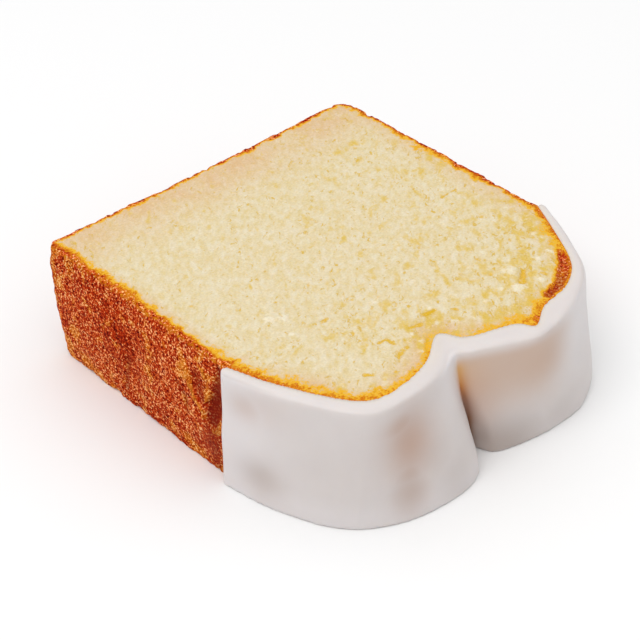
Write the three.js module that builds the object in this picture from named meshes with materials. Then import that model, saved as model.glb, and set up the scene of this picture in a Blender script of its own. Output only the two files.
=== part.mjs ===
// A slice of iced lemon loaf cake, lying on one of its two cut faces.
// Millimetres, +Z up. X runs across the loaf, -Y is the way the loaf rose in its tin, and Z runs
// along the loaf, which is the slice's thickness. The origin is the middle of the slice's box, on
// the surface that it lies on.
import * as THREE from "three";
import { ImprovedNoise } from "three/addons/math/ImprovedNoise.js";

// Driving sizes
const THICKNESS = 32; // between the two cut faces
const WALL_WIDTH = 95; // across the walls that the tin shaped
const WALL_HEIGHT = 63.8; // from the base to the tin's rim
const LEFT_CORNER = [5.0, 2.0]; // radius between base and left wall, at the lower and upper faces
const RIGHT_CORNER = [5.0, 5.0]; // radius between base and right wall
const WALL_BULGE = 1.0; // the soft sponge swells between its cut faces
const BULGE_RISE = 1.2; // above 1 the swelling is nearer the upper face
const WALL_LEAN = 0.9; // the lower face's walls draw in this far towards the base
const BASE_HOLLOW = 0.7; // the base lifts off the tin a little in its middle
const SEAT_GAP = 0.3; // between the crust and the icing that lies on it

// The dome that rose above the rim and split along its top. Each landmark has its place across the
// loaf and its rise above the rim, first at the lower cut face and then at the upper one, and the
// thickness of the icing there.
const HALF = WALL_WIDTH / 2;
const DOME = [
  { mark: "left rim", lower: [-HALF, 0], upper: [-HALF, 0], coat: [2.4, 2.4] },
  { mark: "left flank", lower: [-45.2, 11.5], upper: [-43.6, 11.5], coat: [3.0, 3.2] },
  { mark: "left shoulder", lower: [-35.8, 28.4], upper: [-33.3, 28.6], coat: [4.0, 3.8] },
  { mark: "left crest", lower: [-20.6, 33.8], upper: [-24.8, 29.9], coat: [4.8, 4.2] },
  { mark: "left lip", lower: [-7.6, 32.8], upper: [-14.4, 27.6], coat: [4.2, 4.6] },
  { mark: "crack floor", lower: [0.4, 22.6], upper: [-5.8, 22.6], coat: [4.2, 6.0] },
  { mark: "right lip", lower: [4.4, 30.6], upper: [-2.8, 27.2], coat: [4.0, 4.2] },
  { mark: "right crest", lower: [13.0, 32.6], upper: [9.4, 31.9], coat: [4.2, 5.8] },
  { mark: "crust spur", lower: [17.0, 33.2], upper: [11.8, 35.2], coat: [4.2, 3.4] },
  { mark: "right dip", lower: [22.0, 33.3], upper: [18.8, 31.6], coat: [4.2, 5.6] },
  { mark: "right brow", lower: [28.0, 32.7], upper: [28.0, 29.9], coat: [4.2, 3.6] },
  { mark: "right shoulder", lower: [37.0, 27.2], upper: [35.4, 25.2], coat: [4.2, 3.0] },
  { mark: "right flank", lower: [45.0, 14.0], upper: [43.2, 12.4], coat: [3.4, 2.9] },
  { mark: "right rim", lower: [HALF, 4], upper: [HALF, 4], coat: [2.2, 2.0] },
];

// How finely the solids are faceted
const LEVELS = 13; // outlines from the lower cut face to the upper one
const DOME_POINTS = 5 * (DOME.length - 1); // five to each stretch between landmarks
const WALL_POINTS = 28;
const BASE_POINTS = 34;
const CORNER_POINTS = 5;
const NOSE_POINTS = 3; // round the icing's edge at the rim

// The browned crust's unevenness, in from and out of the plain wall
const CRUST_LUMP = 0.45;
const CRUST_LUMP_SIZE = 9;
const CRUST_GRIT = 0.22;
const CRUST_GRIT_SIZE = 3.2;
const RIM_FADE = 2; // the unevenness starts this far below the rim

// Folds and pits in the left wall's crust: place below the rim, height, reach each way and depth
const CRUST_PITS = [
  { below: 4.2, height: 18.5, reach: [3.2, 4.6], depth: 2.0 },
  { below: 10.5, height: 22.0, reach: [2.4, 5.0], depth: 0.8 },
  { below: 33.0, height: 12.0, reach: [1.6, 7.0], depth: 0.7 },
  { below: 46.0, height: 20.0, reach: [2.0, 6.0], depth: 0.4 },
];

// Soft dents that fingers and setting left in the icing: place across, rise, height, reach and depth
const ICING_DENTS = [
  { across: -47.9, rise: 6.2, height: 25.9, reach: 4.5, depth: 0.5 },
  { across: -48.0, rise: 10.6, height: 7.1, reach: 5.0, depth: 0.7 },
  { across: -26.3, rise: 34.4, height: 23.6, reach: 6.5, depth: 1.2 },
  { across: -27.4, rise: 36.4, height: 9.7, reach: 4.5, depth: 0.6 },
  { across: 13.1, rise: 38.4, height: 25.0, reach: 5.5, depth: 0.8 },
];
const ICING_WAVE = 0.35;
const ICING_WAVE_SIZE = 13;

const noise = new ImprovedNoise();

// Smooth noise from about -1 to 1 with features of one size
function lumps(x, y, z, size) {
  return noise.noise(x / size, y / size, z / size);
}

// A value that eases from the lower cut face to the upper one, at a share of the thickness
function between([lower, upper], share) {
  return THREE.MathUtils.lerp(lower, upper, THREE.MathUtils.smoothstep(share, 0, 1));
}

// A round hollow's depth at an offset from its middle, counted in its own reach
function hollow(offset, depth) {
  return depth * Math.exp(-offset * offset);
}

// A smooth line through points of the section, with y as rise above the rim
function lineThrough(points) {
  return new THREE.CatmullRomCurve3(points, false, "centripetal");
}

// The way out of the loaf, square to a line that runs from left to right over the dome
function outward(line, t) {
  const along = line.getTangent(t);
  return new THREE.Vector3(-along.y, along.x, 0);
}

// The crust's line over the dome at one level
function domeLine(share) {
  const marks = DOME.map(({ lower, upper }) => {
    const across = between([lower[0], upper[0]], share);
    const rise = between([lower[1], upper[1]], share);
    return new THREE.Vector3(across, rise, 0);
  });
  return lineThrough(marks);
}

// The icing's outer line at one level: each landmark moved out by the icing's thickness
function coatLine(share) {
  const dome = domeLine(share);
  const marks = DOME.map(({ coat }, i) => {
    const way = outward(dome, i / (DOME.length - 1));
    return dome.points[i].clone().addScaledVector(way, between(coat, share));
  });
  return lineThrough(marks);
}

// Points of the crust under the icing at one level, moved out by a gap
function domePoints(share, gap) {
  const line = domeLine(share);
  return Array.from({ length: DOME_POINTS + 1 }, (_, i) => {
    const t = i / DOME_POINTS;
    return line.getPoint(t).addScaledVector(outward(line, t), gap);
  });
}

// How far the crust stands in or out of the plain wall at a place
function crustRelief(point, height) {
  let relief = CRUST_LUMP * lumps(point.x, point.y, height, CRUST_LUMP_SIZE);
  relief += CRUST_GRIT * lumps(point.x, point.y, height, CRUST_GRIT_SIZE);
  if (point.x > 0) return relief;
  for (const { below, height: middle, reach, depth } of CRUST_PITS) {
    const offset = Math.hypot((-point.y - below) / reach[0], (height - middle) / reach[1]);
    relief -= hollow(offset, depth);
  }
  return relief;
}

// Points in even steps along a straight stretch, the far end included
function stretch(from, to, steps) {
  return Array.from({ length: steps }, (_, i) => from.clone().lerp(to, (i + 1) / steps));
}

// Points in even steps round a corner of the tin, both ends left out
function corner(middle, radius, start) {
  return Array.from({ length: CORNER_POINTS - 1 }, (_, i) => {
    const turn = start - (Math.PI / 2) * ((i + 1) / CORNER_POINTS);
    return new THREE.Vector3(Math.cos(turn), Math.sin(turn), 0).multiplyScalar(radius).add(middle);
  });
}

// The walls and base at one level, clockwise from the right rim to the left one
function tinPoints(share) {
  const base = -WALL_HEIGHT;
  const rightRadius = between(RIGHT_CORNER, share);
  const leftRadius = between(LEFT_CORNER, share);
  const rightRim = domeLine(0).points.at(-1);
  const leftRim = domeLine(0).points[0];
  const rightMiddle = new THREE.Vector3(HALF - rightRadius, base + rightRadius, 0);
  const leftMiddle = new THREE.Vector3(-HALF + leftRadius, base + leftRadius, 0);
  const rightFoot = new THREE.Vector3(HALF, rightMiddle.y, 0);
  const leftFoot = new THREE.Vector3(-HALF, leftMiddle.y, 0);
  const baseRight = new THREE.Vector3(rightMiddle.x, base, 0);
  const baseLeft = new THREE.Vector3(leftMiddle.x, base, 0);
  const plain = [
    ...stretch(rightRim, rightFoot, WALL_POINTS),
    ...corner(rightMiddle, rightRadius, 0),
    baseRight,
    ...stretch(baseRight, baseLeft, BASE_POINTS),
    ...corner(leftMiddle, leftRadius, -Math.PI / 2),
    leftFoot,
    ...stretch(leftFoot, leftRim, WALL_POINTS).slice(0, -1),
  ];
  return plain.map((point) => browned(point, share, point.x > 0 ? rightRadius : leftRadius));
}

// A point of the plain wall or base, moved to where the baked crust has it
function browned(point, share, radius) {
  const swell = WALL_BULGE * Math.sin(Math.PI * share ** BULGE_RISE);
  const lean = (WALL_LEAN * (1 - share) * -point.y) / WALL_HEIGHT;
  const lift = BASE_HOLLOW * (1 - (point.x / HALF) ** 2);
  const onBase = THREE.MathUtils.smoothstep(-point.y, WALL_HEIGHT - radius, WALL_HEIGHT);
  const fade = THREE.MathUtils.smoothstep(-point.y, 0, RIM_FADE);
  const out = fade * (swell - (1 - onBase) * lean + crustRelief(point, share * THICKNESS));
  const way = new THREE.Vector3(Math.sign(point.x) * (1 - onBase), -onBase, 0);
  return point.clone().addScaledVector(way.normalize(), out - onBase * lift);
}

// The cake's outline at one level, clockwise over the dome and back along walls and base
function cakeOutline(share) {
  return [...domePoints(share, 0), ...tinPoints(share)];
}

// How far the icing's face stands in or out at a place
function icingRelief(point, height) {
  let relief = ICING_WAVE * lumps(point.x, point.y, height, ICING_WAVE_SIZE);
  for (const { across, rise, height: middle, reach, depth } of ICING_DENTS) {
    const offset = Math.hypot(point.x - across, point.y - rise, height - middle) / reach;
    relief -= hollow(offset, depth);
  }
  return relief;
}

// The round edge that ends the icing at a rim, between its outer and its inner line
function nosePoints(from, to, out) {
  const middle = from.clone().add(to).multiplyScalar(0.5);
  const half = from.clone().sub(middle);
  return Array.from({ length: NOSE_POINTS }, (_, i) => {
    const turn = (Math.PI * (i + 1)) / (NOSE_POINTS + 1);
    const side = half.clone().multiplyScalar(Math.cos(turn));
    return middle.clone().add(side).addScaledVector(out, half.length() * Math.sin(turn));
  });
}

// The icing's outline at one level, clockwise over its face and back along the crust
function icingOutline(share) {
  const coat = coatLine(share);
  const face = Array.from({ length: DOME_POINTS + 1 }, (_, i) => {
    const t = i / DOME_POINTS;
    const point = coat.getPoint(t);
    return point.addScaledVector(outward(coat, t), icingRelief(point, share * THICKNESS));
  });
  const seat = domePoints(share, SEAT_GAP).reverse();
  const down = new THREE.Vector3(0, -1, 0);
  return [
    ...face,
    ...nosePoints(face[DOME_POINTS], seat[0], down),
    ...seat,
    ...nosePoints(seat[DOME_POINTS], face[0], down),
  ];
}

// A closed solid through the outlines that a function gives at each level. An outline runs clockwise
// as rise is drawn upwards. Rise is -Y in the slice, so it runs anticlockwise seen from above.
function slab(outlineAt) {
  const places = [];
  const faces = [];
  let count = 0;
  for (let level = 0; level < LEVELS; level++) {
    const share = level / (LEVELS - 1);
    const outline = outlineAt(share);
    count = outline.length;
    outline.forEach((point) => places.push(point.x, -point.y, share * THICKNESS));
  }
  for (let level = 0; level + 1 < LEVELS; level++) {
    for (let i = 0; i < count; i++) {
      const [a, b] = [level * count + i, level * count + ((i + 1) % count)];
      faces.push(a, b, b + count, a, b + count, a + count);
    }
  }
  const flat = (level) =>
    Array.from({ length: count }, (_, i) => {
      const at = 3 * (level * count + i);
      return new THREE.Vector2(places[at], places[at + 1]);
    });
  const top = (LEVELS - 1) * count;
  THREE.ShapeUtils.triangulateShape(flat(0), []).forEach(([a, b, c]) => faces.push(a, c, b));
  THREE.ShapeUtils.triangulateShape(flat(LEVELS - 1), []).forEach(([a, b, c]) =>
    faces.push(top + a, top + b, top + c),
  );
  const geometry = new THREE.BufferGeometry();
  geometry.setAttribute("position", new THREE.Float32BufferAttribute(places, 3));
  geometry.setIndex(faces);
  geometry.computeVertexNormals();
  return geometry;
}

// The cake: one sponge with its browned crust
function makeCake() {
  const crumb = new THREE.MeshStandardMaterial({ color: 0xecdcae, roughness: 0.9, metalness: 0 });
  const cake = new THREE.Mesh(slab(cakeOutline), crumb);
  cake.name = "cake";
  return cake;
}

// The icing: a coat over the dome that runs through the slice and fills the crack
function makeIcing() {
  const sugar = new THREE.MeshStandardMaterial({ color: 0xe9e4e1, roughness: 0.45, metalness: 0 });
  const icing = new THREE.Mesh(slab(icingOutline), sugar);
  icing.name = "icing";
  return icing;
}

const slice = new THREE.Group();
slice.add(makeCake(), makeIcing());
const middle = new THREE.Box3().setFromObject(slice).getCenter(new THREE.Vector3());
slice.children.forEach((piece) => piece.geometry.translate(-middle.x, -middle.y, 0));

export default slice;
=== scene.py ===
import math

import bmesh
import bpy
import numpy as np
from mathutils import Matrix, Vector, noise
from mathutils.bvhtree import BVHTree
from mathutils.kdtree import KDTree


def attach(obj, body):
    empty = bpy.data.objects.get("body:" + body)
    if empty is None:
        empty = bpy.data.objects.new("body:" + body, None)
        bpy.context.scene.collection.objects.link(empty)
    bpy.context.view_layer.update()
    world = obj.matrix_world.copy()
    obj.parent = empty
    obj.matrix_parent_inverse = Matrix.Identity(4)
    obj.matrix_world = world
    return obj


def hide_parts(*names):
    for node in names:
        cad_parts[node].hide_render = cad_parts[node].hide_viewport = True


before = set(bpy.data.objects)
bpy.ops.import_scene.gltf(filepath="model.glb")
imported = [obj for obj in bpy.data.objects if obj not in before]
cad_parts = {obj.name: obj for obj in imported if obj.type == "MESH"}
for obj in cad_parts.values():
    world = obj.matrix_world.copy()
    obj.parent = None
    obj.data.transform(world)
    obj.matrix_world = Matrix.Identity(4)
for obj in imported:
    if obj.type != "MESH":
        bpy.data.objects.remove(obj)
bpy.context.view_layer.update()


# Sponge slice: butter sponge with lemon, sawn from a tin-baked loaf and laid on one of its cut faces. Baking
# browned its walls, base and dome to a thin grainy skin, and the knife left the pale open crumb bare. Places
# are in millimetres: across from wall to wall, along from dome to base, and height above the table.

MM = 0.001
MERGE_REACH = 0.001
SMOOTHING_STEP = 0.5
STEEP = 0.7
SPONGE_CELL = 0.45
SPONGE_SMOOTHING = 3


def even_copy(node, name, cell):
    """A new piece with the shape of a CAD node, in one closed mesh of even cells."""
    merged = bmesh.new()
    merged.from_mesh(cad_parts[node].data)
    bmesh.ops.remove_doubles(merged, verts=merged.verts, dist=MERGE_REACH * MM)
    shape = bpy.data.meshes.new(name)
    merged.to_mesh(shape)
    merged.free()
    piece = bpy.data.objects.new(name, shape)
    bpy.context.collection.objects.link(piece)
    cells = piece.modifiers.new("even cells", "REMESH")
    cells.mode = "VOXEL"
    cells.voxel_size = cell * MM
    return applied(piece)


def applied(piece):
    """The piece with its modifiers made part of its mesh."""
    graph = bpy.context.evaluated_depsgraph_get()
    before = piece.data
    piece.data = bpy.data.meshes.new_from_object(piece.evaluated_get(graph))
    piece.data.name = piece.name
    piece.modifiers.clear()
    bpy.data.meshes.remove(before)
    return piece


def smoothed(piece, times):
    """Rounds the piece's facets and edges off by averaging neighbours."""
    rounded = bmesh.new()
    rounded.from_mesh(piece.data)
    for _ in range(times):
        bmesh.ops.smooth_vert(
            rounded, verts=rounded.verts, factor=SMOOTHING_STEP,
            use_axis_x=True, use_axis_y=True, use_axis_z=True,
        )
    rounded.to_mesh(piece.data)
    rounded.free()


def measured(piece):
    """The places of the piece's vertices in millimetres, and their normals."""
    count = len(piece.data.vertices)
    places = np.empty(count * 3)
    normals = np.empty(count * 3)
    piece.data.vertices.foreach_get("co", places)
    piece.data.vertices.foreach_get("normal", normals)
    return places.reshape(-1, 3) / MM, normals.reshape(-1, 3)


def settled(piece, places):
    """Puts the piece's vertices at places in millimetres, none below the surface that it lies on."""
    places[:, 2] = np.maximum(places[:, 2], 0)
    piece.data.vertices.foreach_set("co", (places * MM).ravel())
    piece.data.polygons.foreach_set("use_smooth", [True] * len(piece.data.polygons))
    piece.data.update()


def painted(piece, coats):
    """Keeps each coat's value for every vertex under a name that a material can read."""
    for name, values in coats.items():
        layer = piece.data.attributes.new(name, "FLOAT", "POINT")
        layer.data.foreach_set("value", np.asarray(values, np.float32))


def eased(low, high, values):
    """0 up to low, 1 from high on and a smooth rise between."""
    share = np.clip((values - low) / (high - low), 0, 1)
    return share * share * (3 - 2 * share)


def lumps(places, size, shift):
    """Smooth noise from about -1 to 1 with lumps of one size, read from its own part of the noise."""
    return np.array([noise.noise(place) for place in (places / size + shift).tolist()])


def spread(offsets):
    """1 in a soft spot's middle, falling to nearly 0 at twice its reach."""
    return np.exp(-offsets ** 2)


def spot(flat, middle, reach, fray=0):
    """A soft round spot on flat places, whose outline may fray."""
    return spread((np.hypot(flat[:, 0] - middle[0], flat[:, 1] - middle[1]) + fray) / reach)


def beside(flat, line):
    """How far each flat place is from a line, or from a strip whose points also state a half width."""
    best = np.full(len(flat), np.inf)
    for start, end in zip(np.array(line), np.array(line[1:])):
        run = end[:2] - start[:2]
        share = np.clip((flat - start[:2]) @ run / (run @ run), 0, 1)
        apart = np.linalg.norm(flat - start[:2] - share[:, None] * run, axis=1)
        if len(start) > 2:
            apart = apart - start[2] - share * (end[2] - start[2])
        best = np.minimum(best, apart)
    return best


def skin_of(node):
    """A search tree over a CAD node's baked faces, which stand steeper than its cut faces."""
    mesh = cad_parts[node].data
    corners = [vertex.co / MM for vertex in mesh.vertices]
    steep = [face.vertices[:] for face in mesh.polygons if abs(face.normal.z) < STEEP]
    return BVHTree.FromPolygons(corners, steep)


def nearest(skin, places):
    """The skin's nearest place to each place, the way the skin faces there, and how far off it is."""
    seats, facings, _, offsets = zip(*[skin.find_nearest(place) for place in places.tolist()])
    return np.array(seats), np.array(facings), np.array(offsets)


sponge = even_copy("cake", "sponge_slice", SPONGE_CELL)
smoothed(sponge, SPONGE_SMOOTHING)

# Where each vertex lies: on a cut face or a wall, how deep below the baked skin, and which way that skin
# faces. The icing covers the dome from its edge on.
FACE_HEIGHT = 32.0
ICING_EDGE = -13.0
ICED = (-12.0, -16.0)
CUT_FLATNESS = (0.45, 0.9)
LEFTWARD = -0.5
SQUARE_ON = 0.7
DOMEWARD = -0.3
places, normals = measured(sponge)
across, along, height = places.T
skin = skin_of("cake")
_, facing, depth = nearest(skin, places)
cut = eased(*CUT_FLATNESS, np.abs(normals[:, 2]))
upper = cut * (normals[:, 2] > 0)
wall = 1 - cut
iced = wall * eased(*ICED, along)
left_wall = wall * (normals[:, 0] < LEFTWARD)
domed = along < ICING_EDGE
based = facing[:, 1] > SQUARE_ON
on_right = facing[:, 0] > SQUARE_ON
by_dome = facing[:, 1] < DOMEWARD
on_face = places[:, :2]
on_wall = places[:, 1:]

# The browned skin: how thick it is, how dark it baked along the dome, and patches where more of it shows. The
# pocket is a strip of crust that folded into the crumb beside the right shoulder. Away from the cut the walls
# are crust all over, and their upper rim glows a little lighter.
BASE_SKIN = 2.0
DOME_SKIN = 2.7
RIGHT_SKIN = 2.8
WALL_SKIN = 3.5
THINNEST_SKIN = 0.25
BASE_BAKE = 1.3
RIGHT_BAKE = 1.15
WALL_BAKE = 1.0
DOME_BAKE = [
    # across, share of the full browning
    (-48, 0.86), (-44, 0.8), (-38, 0.72), (-30, 0.66), (-20, 0.56), (-11, 0.46), (-7.5, 0.2), (-3, 0.14),
    (1, 0.34), (10.5, 0.5), (13.8, 0.88), (17, 0.66), (26, 0.66), (33, 0.56), (39, 0.66), (42, 0.8),
    (48, 0.84),
]
SKIN_PATCHES = [
    # across, along, reach, added thickness
    (34.0, -38.0, 5.0, 1.0),
    (40.5, -24.0, 10.0, 1.5),
    (-44.5, -18.0, 7.0, 3.0),
    (-39.0, -30.0, 7.0, 1.5),
    (-33.0, -39.5, 5.5, 2.2),
    (-26.0, -46.0, 7.0, 0.2),
    (1.0, -41.0, 5.0, 2.0),
    (9.5, -45.0, 4.5, 1.6),
    (17.0, -46.5, 4.5, 3.2),
    (13.8, -46.8, 2.2, 0.8),
    (33.0, 50.4, 3.4, 2.0),
    (22.0, 50.2, 2.4, 1.8),
    (13.5, 49.6, 1.6, 2.0),
    (-46.9, 45.0, 1.6, 2.4),
    (-39.2, 51.3, 2.0, 1.4),
    (-21.2, 49.4, 1.8, 1.2),
    (-47.6, -10.8, 2.2, 1.6),
    (44.5, 21.0, 2.2, 1.4),
    (46.0, 8.5, 2.4, 1.4),
    (47.0, 0.8, 2.4, 1.2),
]
RAGGED_LUMPS = [
    # share, lump size, shift in the noise
    (0.55, 3.3, 5.0),
    (0.5, 1.25, 9.0),
]
WHOLE_CRUST = 0.45
CRUST_DEPTH = (0.1, 0.5)
CRUST_START = (0.3, 2.4)
RIM_GLOW = 0.16
RIM_FADE = (0.4, 2.8)
POCKET = [
    # across, along, half width
    (37.5, -32.4, 0.3), (36.3, -34.6, 0.8), (34.9, -36.3, 1.05), (32.5, -38.2, 1.05), (30.0, -39.9, 1.0),
    (27.6, -41.3, 0.9), (25.2, -41.7, 0.8), (22.6, -42.1, 0.6),
]
POCKET_DEPTH = 0.7
POCKET_FRAY = 0.5
POCKET_EDGE = (-0.2, 0.5)
POCKET_SKIN = (-0.3, 1.6)
thickness = np.select([based, domed, on_right], [BASE_SKIN, DOME_SKIN, RIGHT_SKIN], WALL_SKIN)
for *middle, reach, added in SKIN_PATCHES:
    thickness = thickness + added * spot(on_face, middle, reach)
ragged = sum(share * lumps(places, size, shift) for share, size, shift in RAGGED_LUMPS)
dome_bake = np.interp(across, *np.transpose(DOME_BAKE))
bake = np.select([based, domed, on_right], [BASE_BAKE, dome_bake, RIGHT_BAKE], WALL_BAKE)
browning = bake * (1 - eased(0, 1, depth / (thickness * np.maximum(THINNEST_SKIN, 1 + ragged))))
below_rim = FACE_HEIGHT - height + ragged
browning += WHOLE_CRUST * ~domed * (1 - eased(*CRUST_DEPTH, depth)) * eased(*CRUST_START, below_rim)
browning -= RIM_GLOW * wall * ~domed * (1 - eased(*RIM_FADE, below_rim))
from_pocket = beside(on_face, POCKET) + POCKET_FRAY * ragged
pocket = upper * (1 - eased(*POCKET_EDGE, from_pocket))
browning = np.maximum(browning, upper * (1 - eased(*POCKET_SKIN, from_pocket)))

# The crumb is more open towards the right, round the crack and below the dome
LEAST_OPEN = 0.2
OPEN_RIGHT = 0.35
OPEN_SLANT = 0.6
OPEN_SPAN = (-45, 45)
OPEN_DOME = 0.3
OPEN_DOME_DEPTH = (1, 8)
OPEN_SPOT = 0.42
OPEN_SPOTS = [
    # across, along, reach
    (25.0, -31.0, 9.0),
    (-5.0, -31.0, 7.0),
    (-19.0, -20.0, 7.0),
    (12.0, -42.0, 7.0),
    (36.0, -18.0, 7.0),
]
open_crumb = LEAST_OPEN + OPEN_RIGHT * eased(*OPEN_SPAN, across - OPEN_SLANT * along)
for *middle, reach in OPEN_SPOTS:
    open_crumb += OPEN_SPOT * spot(on_face, middle, reach)
open_crumb += OPEN_DOME * (1 - eased(*OPEN_DOME_DEPTH, depth)) * by_dome
open_crumb = np.clip(open_crumb, 0, 1)

# Pores of the crumb: bubbles that the knife cut through, most of them small and a few long or wide. The crumb
# also tore along a few short lines, and stands up a little paler in bits beside them and in a fine scatter.
SEED = 20
BARE_FLATNESS = 0.9
BARE_DEPTH = 1.5
PORES = 240
PORE_REACH = (0.42, 0.85)
PORE_SKEW = 2.5
PORE_STRENGTH = (0.15, 0.35)
PORE_OPENING = 0.6
PORE_STRETCH = (1.0, 1.8)
PORE_MARGIN = 1.4
PORE_FRAY = 0.45
PORE_FRAY_SIZE = 0.9
PORE_DEPTH = 0.25
LARGE_PORES = [
    # across, along, reach, how open it is
    (-20.6, -14.9, 0.95, 1.0), (-11.0, -12.9, 1.2, 0.6), (-20.7, -21.1, 0.7, 0.8), (-19.5, -23.0, 0.6, 0.7),
    (-14.3, -2.8, 0.6, 0.6), (-19.4, -0.7, 0.6, 0.5), (-21.8, -5.1, 0.6, 0.5), (-29.9, -16.3, 0.6, 0.7),
    (-40.6, -17.4, 0.6, 0.6), (-41.5, -14.3, 0.6, 0.6), (-27.4, 4.2, 0.6, 0.5), (-38.7, 8.8, 0.9, 0.7),
    (39.1, -22.7, 0.8, 0.8), (32.2, -21.9, 0.7, 0.7), (34.2, -10.8, 0.8, 0.8), (21.0, -22.1, 0.8, 0.8),
    (18.8, -28.0, 0.8, 0.9), (14.0, -27.1, 0.7, 0.7), (3.5, -31.7, 0.8, 0.9), (36.9, -24.6, 0.7, 0.7),
    (38.1, -29.1, 0.7, 0.8), (32.4, -25.2, 0.7, 0.7), (-10.0, -18.9, 0.6, 0.6), (-6.1, -22.5, 0.6, 0.6),
    (1.8, -23.8, 0.7, 0.7), (24.1, 42.1, 0.5, 0.5), (23.5, 29.9, 0.5, 0.5), (0.8, 26.0, 0.5, 0.5),
    (2.6, 9.4, 0.6, 0.5), (25.5, 21.5, 0.5, 0.5), (27.9, 1.4, 0.6, 0.6), (3.8, -9.4, 0.6, 0.6),
]
TEARS = [
    # line of across and along, reach, depth
    ([(25.6, -32.1), (24.2, -33.3), (22.3, -34.8)], 0.75, 1.0),
    ([(-8.8, -29.5), (-7.4, -30.1), (-5.9, -30.4)], 0.55, 0.4),
    ([(-2.7, -28.7), (-0.9, -28.9), (0.0, -28.9)], 0.5, 0.4),
    ([(-17.6, -28.9), (-15.5, -29.1), (-15.2, -31.4)], 0.5, 0.3),
    ([(-18.1, -35.7), (-16.0, -34.4), (-13.9, -34.1)], 0.5, 0.3),
    ([(-27.5, -34.9), (-26.2, -36.1)], 0.45, 0.3),
    ([(-22.1, -38.4), (-21.3, -38.8)], 0.45, 0.3),
    ([(-8.5, -34.7), (-11.3, -37.7), (-12.4, -39.6), (-16.0, -41.6)], 0.5, 0.4),
    ([(33.2, 1.4), (36.0, 1.8), (38.4, 1.6)], 0.35, 0.2),
]
TEAR_GAIN = 1.25
TEAR_FRAY = 0.5
TEAR_SINK = 0.6
PALE_BITS = [
    # across, along, reach, height
    (23.0, -30.1, 1.7, 0.3), (19.6, -36.0, 1.3, 0.25), (25.8, -37.5, 0.9, 0.2), (31.1, -31.5, 0.9, 0.2),
    (35.4, -31.1, 0.7, 0.15), (26.0, -26.7, 0.9, 0.2), (10.7, -34.0, 0.8, 0.2), (16.9, -33.5, 0.8, 0.2),
    (-29.0, -6.4, 1.2, 0.25), (-26.3, -8.3, 1.1, 0.25), (-29.5, -13.6, 0.8, 0.2), (-10.1, -31.7, 1.0, 0.2),
    (-9.8, -35.4, 0.9, 0.2), (-12.6, -37.8, 0.9, 0.2), (-0.3, -28.0, 0.8, 0.2), (-7.8, -17.8, 0.8, 0.2),
]
PALE_FRAY = 1.2
PALE_SCATTER = 170
PALE_REACH = (0.5, 1.1)
PALE_STRENGTH = (0.3, 0.9)
PALE_RISE = 0.1
draw = np.random.default_rng(SEED)
pore = np.zeros(len(places))
pit = np.zeros(len(places))
pale = np.zeros(len(places))
bare = (cut > BARE_FLATNESS) & (depth > BARE_DEPTH)
for face in (bare & (normals[:, 2] > 0), bare & (normals[:, 2] < 0)):
    members = np.flatnonzero(face)
    search = KDTree(len(members))
    for member in members.tolist():
        search.insert(places[member], member)
    search.balance()
    pores = list(LARGE_PORES)
    for chosen in draw.choice(members, PORES, replace=False):
        reach = PORE_REACH[0] + (PORE_REACH[1] - PORE_REACH[0]) * draw.random() ** PORE_SKEW
        strongest = PORE_STRENGTH[1] + PORE_OPENING * open_crumb[chosen]
        pores.append((*places[chosen, :2], reach, draw.uniform(PORE_STRENGTH[0], strongest)))
    level = places[members[0], 2]
    for middle_across, middle_along, reach, strength in pores:
        stretch = draw.uniform(*PORE_STRETCH)
        turn = draw.uniform(0, math.pi)
        middle = (middle_across, middle_along, level)
        for place, member, _ in search.find_range(middle, reach * stretch * PORE_MARGIN):
            aside = place.x - middle_across
            ahead = place.y - middle_along
            long_way = (aside * math.cos(turn) + ahead * math.sin(turn)) / stretch
            short_way = ahead * math.cos(turn) - aside * math.sin(turn)
            share = math.hypot(long_way, short_way) / reach
            share += PORE_FRAY * noise.noise((place.x / PORE_FRAY_SIZE, place.y / PORE_FRAY_SIZE, turn))
            bowl = min(1.0, max(0.0, 1 - share * share))
            pore[member] = max(pore[member], strength * bowl)
            pit[member] = max(pit[member], strength * PORE_DEPTH * bowl * reach / PORE_REACH[1])
    for chosen in draw.choice(members, PALE_SCATTER, replace=False):
        reach = draw.uniform(*PALE_REACH)
        strength = draw.uniform(*PALE_STRENGTH) * open_crumb[chosen]
        for _, member, offset in search.find_range(places[chosen], 2 * reach):
            pale[member] = max(pale[member], strength * math.exp(-(offset / reach) ** 2))
for line, reach, sunk in TEARS:
    torn = TEAR_GAIN * spread((beside(on_face, line) + TEAR_FRAY * ragged) / reach)
    torn = upper * np.minimum(torn, 1)
    pore = np.maximum(pore, torn)
    pit = np.maximum(pit, TEAR_SINK * sunk * torn)
pit = np.maximum(pit, POCKET_DEPTH * pocket)
raised = PALE_RISE * pale
for *middle, reach, lift in PALE_BITS:
    bit = upper * spot(on_face, middle, reach, PALE_FRAY * ragged)
    pale = np.maximum(pale, bit * (1 - pore))
    raised = np.maximum(raised, lift * bit)

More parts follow.
